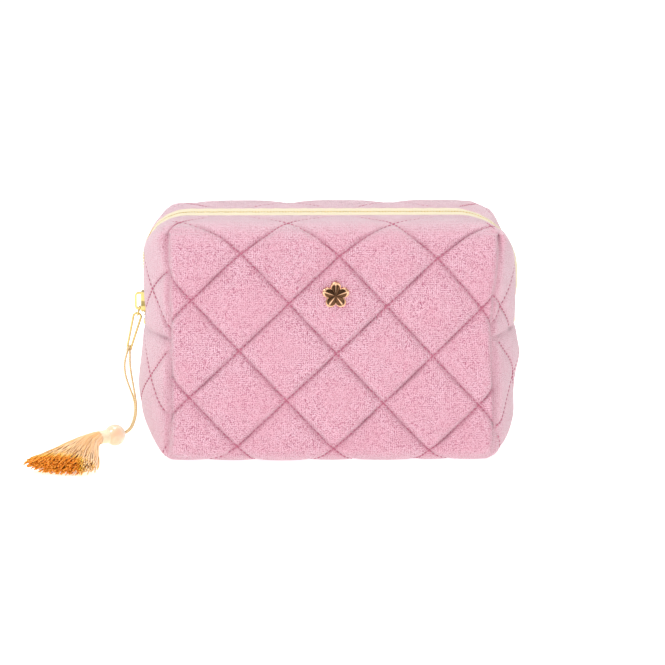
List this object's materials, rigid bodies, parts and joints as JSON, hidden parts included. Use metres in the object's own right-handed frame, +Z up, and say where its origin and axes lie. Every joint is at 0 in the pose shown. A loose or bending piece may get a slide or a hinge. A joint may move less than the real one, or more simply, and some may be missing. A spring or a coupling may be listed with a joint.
{
  "type": "quilted zip-top makeup bag",
  "caption": "Boxy quilted towelling bag whose zip runs over the top and down both sides, with tilting lips, a sliding zip pull with tassel, and a small metal badge.",
  "frame": {"origin": "middle of the flat bottom, on the resting surface", "axes": "+Z up, the badge side faces -Y, the closed end of the zip and its slider are on the -X side"},
  "size_m": [0.2446, 0.104, 0.12],
  "materials": {
    "towelling": "pink terry towelling, diamond quilted",
    "lining": "plain woven lining, guessed",
    "tape": "pale yellow woven zip tape",
    "coil": "gold-coloured coil",
    "gilt": "pale gold plate",
    "rose_gilt": "polished rose gold plate",
    "cord": "pale yellow silky cord",
    "pearl": "pearly peach bead",
    "wrap": "cream thread wrap",
    "threads": "peach threads with deep orange cut ends"
  },
  "bodies": {
    "pouch": {"front_panel_lower": "towelling", "front_panel_fold": "towelling", "back_panel_lower": "towelling", "back_panel_fold": "towelling", "front_lining_lower": "lining", "front_lining_fold": "lining", "back_lining_lower": "lining", "back_lining_fold": "lining", "zip_tape_end_left": "tape", "zip_tape_end_right": "tape", "zip_coil_end_left": "coil", "zip_coil_end_right": "coil", "zip_top_stops": "gilt", "zip_bottom_stop": "gilt"},
    "front_lip": {"front_panel_upper": "towelling", "front_lining_upper": "lining", "zip_tape_front": "tape", "zip_coil_front": "coil", "badge": "rose_gilt", "badge_backplate": "rose_gilt"},
    "back_lip": {"back_panel_upper": "towelling", "back_lining_upper": "lining", "zip_tape_back": "tape", "zip_coil_back": "coil"},
    "slider": {"slider_body": "gilt", "slider_crown": "gilt"},
    "pull": {"bail_ring": "gilt", "pull_loop": "gilt", "cord_hitch": "cord", "cord_strand_left": "cord", "cord_strand_right": "cord", "bead": "pearl", "tassel_neck": "wrap", "tassel_skirt": "threads"}
  },
  "joints": [
    {"name": "front_lip_tilt", "type": "hinge", "parent": "pouch", "child": "front_lip", "pos_m": [0, -0.02, 0.075], "axis": [1, 0, 0], "range_deg": [0, 35], "stiffness_Nm_per_rad": 0.03, "springref_deg": -20.05, "deforming": ["front_panel_fold", "front_lining_fold"]},
    {"name": "back_lip_tilt", "type": "hinge", "parent": "pouch", "child": "back_lip", "pos_m": [0, 0.02, 0.075], "axis": [-1, 0, 0], "range_deg": [0, 35], "stiffness_Nm_per_rad": 0.03, "springref_deg": -20.05, "deforming": ["back_panel_fold", "back_lining_fold"]},
    {"name": "slider_travel", "type": "slide", "parent": "pouch", "child": "slider", "axis": [0, 0, 1], "range_m": [0, 0.017], "deforming": ["zip_coil_end_left", "zip_coil_front", "zip_coil_back"]},
    {"name": "pull_swing", "type": "hinge", "parent": "slider", "child": "pull", "pos_m": [-0.09655, 0, 0.0707], "axis": [0, 1, 0], "range_deg": [0, 100]}
  ]
}
